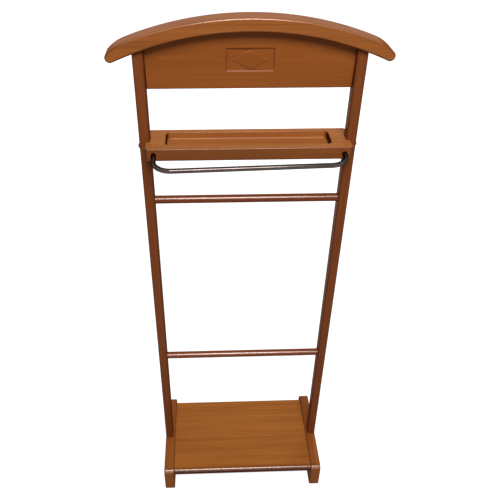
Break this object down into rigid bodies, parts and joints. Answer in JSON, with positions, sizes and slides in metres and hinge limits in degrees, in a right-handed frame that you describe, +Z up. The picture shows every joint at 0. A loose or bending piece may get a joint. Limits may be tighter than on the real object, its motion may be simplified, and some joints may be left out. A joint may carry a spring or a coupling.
{
  "type": "clothes valet stand",
  "caption": "Free-standing wooden clothes valet with a bowed shoulder rail, crest panel, pocket tray, bent metal trouser bar, round rails and a shoe shelf.",
  "frame": {"origin": "on the floor, midway between the two runners and midway along them", "axes": "+Z up, -Y to the front, where the trouser bar and the shelf's moulding are, +X to the right seen from the front"},
  "size_m": [0.452, 0.224, 1.072],
  "materials": {
    "stained_beech": "stained and lacquered, satin",
    "carved_beech": "stained and lacquered, satin, with a raised diamond",
    "dowel_beech": "raw fluted dowel",
    "bronzed_steel": "dark bronzed",
    "zinc_steel": "zinc plated",
    "insert_brass": "turned",
    "glide_plastic": "moulded"
  },
  "bodies": {
    "root": {"shoulder_rail": "stained_beech", "crest_panel": "stained_beech", "crest_plaque": "carved_beech", "upright_left": "stained_beech", "upright_right": "stained_beech", "tray": "stained_beech", "trouser_bar": "bronzed_steel", "upper_rail": "stained_beech", "lower_rail": "stained_beech", "shoe_shelf": "stained_beech", "runner_left": "stained_beech", "runner_right": "stained_beech", "shoulder_dowels": "dowel_beech", "crest_side_dowels": "dowel_beech", "crest_top_dowels": "dowel_beech", "tray_bolts": "bronzed_steel", "barrel_nuts": "zinc_steel", "runner_bolts": "zinc_steel", "upright_inserts": "insert_brass", "upright_dowels": "dowel_beech", "shelf_screws": "zinc_steel", "shelf_dowels": "dowel_beech", "foot_glides": "glide_plastic"}
  },
  "joints": []
}
